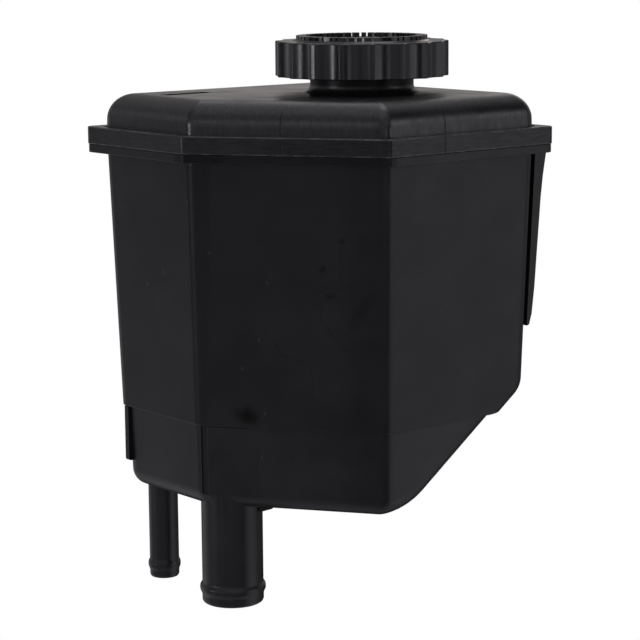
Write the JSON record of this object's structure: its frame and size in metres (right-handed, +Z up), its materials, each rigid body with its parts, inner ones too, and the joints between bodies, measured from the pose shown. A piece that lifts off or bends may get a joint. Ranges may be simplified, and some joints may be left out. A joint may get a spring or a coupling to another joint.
{
  "type": "power steering reservoir",
  "caption": "black moulded hydraulic fluid tank with a chamfered corner, sloping floor, welded domed lid, fluted screw cap, hose nipples underneath and a hanger tongue on one side",
  "frame": {"origin": "the seat of the hanger slot: halfway between the right wall and the hanger tongue, in the middle of the tongue's width, level with the underside of the weld flange", "axes": "+Z up, along the filler neck and both hose nipples; +X from the tank's right wall towards the hanger tongue; +Y towards the side where the small return nipple stands, completing a right-handed frame"},
  "size_m": [0.1091, 0.1044, 0.1768],
  "materials": {
    "shell_plastic": "fine moulded grain, black",
    "cap_plastic": "satin black, moulded",
    "seal_rubber": "smooth black rubber",
    "dipstick_plastic": "moulded, dark",
    "inner_plastic": "natural nylon, satin",
    "mesh_nylon": "fine woven nylon",
    "spring_steel": "bright spring steel",
    "magnet_ferrite": "sintered ferrite, dark grey"
  },
  "bodies": {
    "reservoir": {"tank_shell": "shell_plastic", "lid_shell": "shell_plastic", "filler_strainer": "inner_plastic", "baffle_plate": "inner_plastic", "baffle_push_nuts": "spring_steel", "strainer_cage": "inner_plastic", "strainer_mesh": "mesh_nylon", "strainer_seal": "seal_rubber", "spring_seat": "inner_plastic", "bypass_spring": "spring_steel", "return_deflector": "inner_plastic", "chip_magnet": "magnet_ferrite"},
    "cap_rise": {"cap_gasket": "seal_rubber"},
    "cap": {"filler_cap": "cap_plastic", "dipstick": "dipstick_plastic", "vent_valve": "seal_rubber"},
    "bypass": {"bypass_disc": "inner_plastic"}
  },
  "joints": [
    {"name": "cap_lift", "type": "slide", "parent": "reservoir", "child": "cap_rise", "axis": [0, 0, 1], "range_m": [0, 0.00525]},
    {"name": "cap_turn", "type": "hinge", "parent": "cap_rise", "child": "cap", "pos_m": [-0.03789, -0.007, 0.0302], "axis": [0, 0, 1], "range_deg": [0, 540]},
    {"name": "bypass_lift", "type": "slide", "parent": "reservoir", "child": "bypass", "axis": [0, 0, -1], "range_m": [0, 0.002], "stiffness_N_per_m": 300, "springref_m": -0.003, "deforming": ["bypass_spring"]}
  ],
  "couplings": [
    {"joint": "cap_lift", "follows": "cap_turn", "m_per_rad": 0.00055704}
  ]
}
